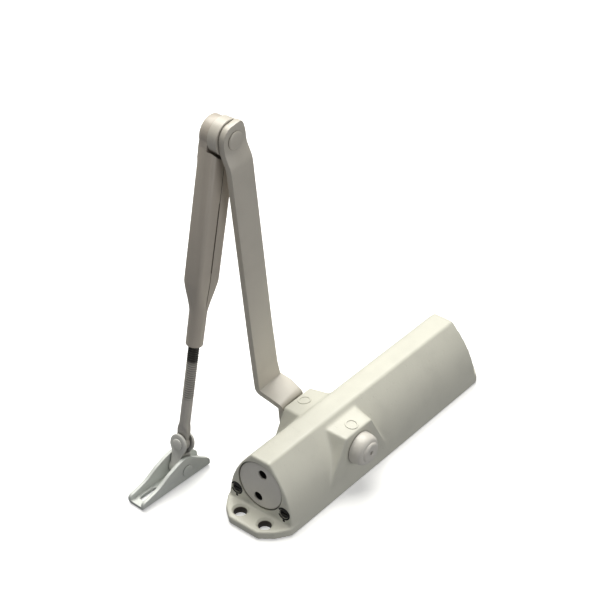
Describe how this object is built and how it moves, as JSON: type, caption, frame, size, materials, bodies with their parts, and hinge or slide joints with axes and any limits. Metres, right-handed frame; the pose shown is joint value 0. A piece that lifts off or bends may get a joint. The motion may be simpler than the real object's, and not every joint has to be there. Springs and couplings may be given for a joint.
{
  "type": "door closer",
  "caption": "Surface-mounted hydraulic door closer: half-round cylinder body with screw feet, pinion, folded two-piece arm with adjustable rod and channel shoe.",
  "frame": {"origin": "on the flat mounting face of the body, straight below the pinion's axis", "axes": "+X along the body to its spring end, +Y to the arm side along the pinion, +Z away from the mounting face"},
  "size_m": [0.2442, 0.1045, 0.2313],
  "materials": {
    "silver_paint": "warm silver enamel on a casting",
    "arm_paint": "warm silver enamel on steel",
    "cap_plastic": "light grey moulding",
    "plug_steel": "turned, lightly oiled",
    "bright_steel": "ground",
    "spring_steel": "dark spring wire",
    "black_screw": "black oxide",
    "rubber": "plain"
  },
  "bodies": {
    "casing": {"closer_body": "silver_paint", "end_plug_valve_end": "plug_steel", "end_plug_spring_end": "plug_steel", "plug_seal_valve_end": "rubber", "plug_seal_spring_end": "rubber", "pinion_bearing_arm": "bright_steel", "pinion_bearing_cap": "bright_steel", "pinion_seal_arm": "rubber", "pinion_seal_cap": "rubber", "bearing_nut": "plug_steel", "spindle_cap": "cap_plastic", "return_spring": "spring_steel", "spring_seat": "bright_steel"},
    "sweep_valve": {"valve_screw_sweep": "black_screw", "valve_seal_sweep": "rubber"},
    "latch_valve": {"valve_screw_latch": "black_screw", "valve_seal_latch": "rubber"},
    "piston_unit": {"piston": "bright_steel", "check_ball": "bright_steel", "check_valve_retainer": "plug_steel"},
    "arm": {"pinion_shaft": "bright_steel", "main_arm": "arm_paint", "arm_screw": "bright_steel", "arm_washer": "bright_steel", "elbow_rivet": "arm_paint", "elbow_bush": "arm_paint"},
    "forearm": {"forearm_sleeve": "arm_paint"},
    "rod": {"adjusting_rod": "arm_paint", "yoke_rivet": "bright_steel"},
    "yoke_unit": {"yoke": "arm_paint"},
    "shoe_unit": {"shoe": "arm_paint", "shoe_pin": "bright_steel"}
  },
  "joints": [
    {"name": "arm_swing", "type": "hinge", "parent": "casing", "child": "arm", "pos_m": [0, 0, 0.0265], "axis": [0, -1, 0], "range_deg": [0, 180], "stiffness_Nm_per_rad": 6, "springref_deg": -148.97},
    {"name": "piston_travel", "type": "slide", "parent": "casing", "child": "piston_unit", "axis": [1, 0, 0], "range_m": [0, 0.0236], "deforming": ["return_spring"]},
    {"name": "sweep_valve_turn", "type": "hinge", "parent": "casing", "child": "sweep_valve", "pos_m": [-0.0635, 0.0182, 0.0133], "axis": [-1, 0, 0], "range_deg": [-180, 180]},
    {"name": "latch_valve_turn", "type": "hinge", "parent": "casing", "child": "latch_valve", "pos_m": [-0.0635, -0.0182, 0.0133], "axis": [-1, 0, 0], "range_deg": [-180, 180]},
    {"name": "elbow", "type": "hinge", "parent": "arm", "child": "forearm", "pos_m": [-0.0214, 0, 0.22032], "axis": [0, 1, 0], "range_deg": [-10, 150]},
    {"name": "rod_adjustment", "type": "slide", "parent": "forearm", "child": "rod", "axis": [-0.2081, 0, -0.9781], "range_m": [-0.03, 0.02]},
    {"name": "yoke_tilt", "type": "hinge", "parent": "rod", "child": "yoke_unit", "pos_m": [-0.06298, 0.062, 0.02493], "axis": [0.9781, 0, -0.2081], "range_deg": [-10, 10]},
    {"name": "shoe_tilt", "type": "hinge", "parent": "yoke_unit", "child": "shoe_unit", "pos_m": [-0.06652, 0.06214, 0.0083], "axis": [0.0384, 0.9993, 0], "range_deg": [-30, 30]}
  ],
  "couplings": [
    {"joint": "piston_travel", "follows": "arm_swing", "m_per_rad": 0.0075}
  ]
}
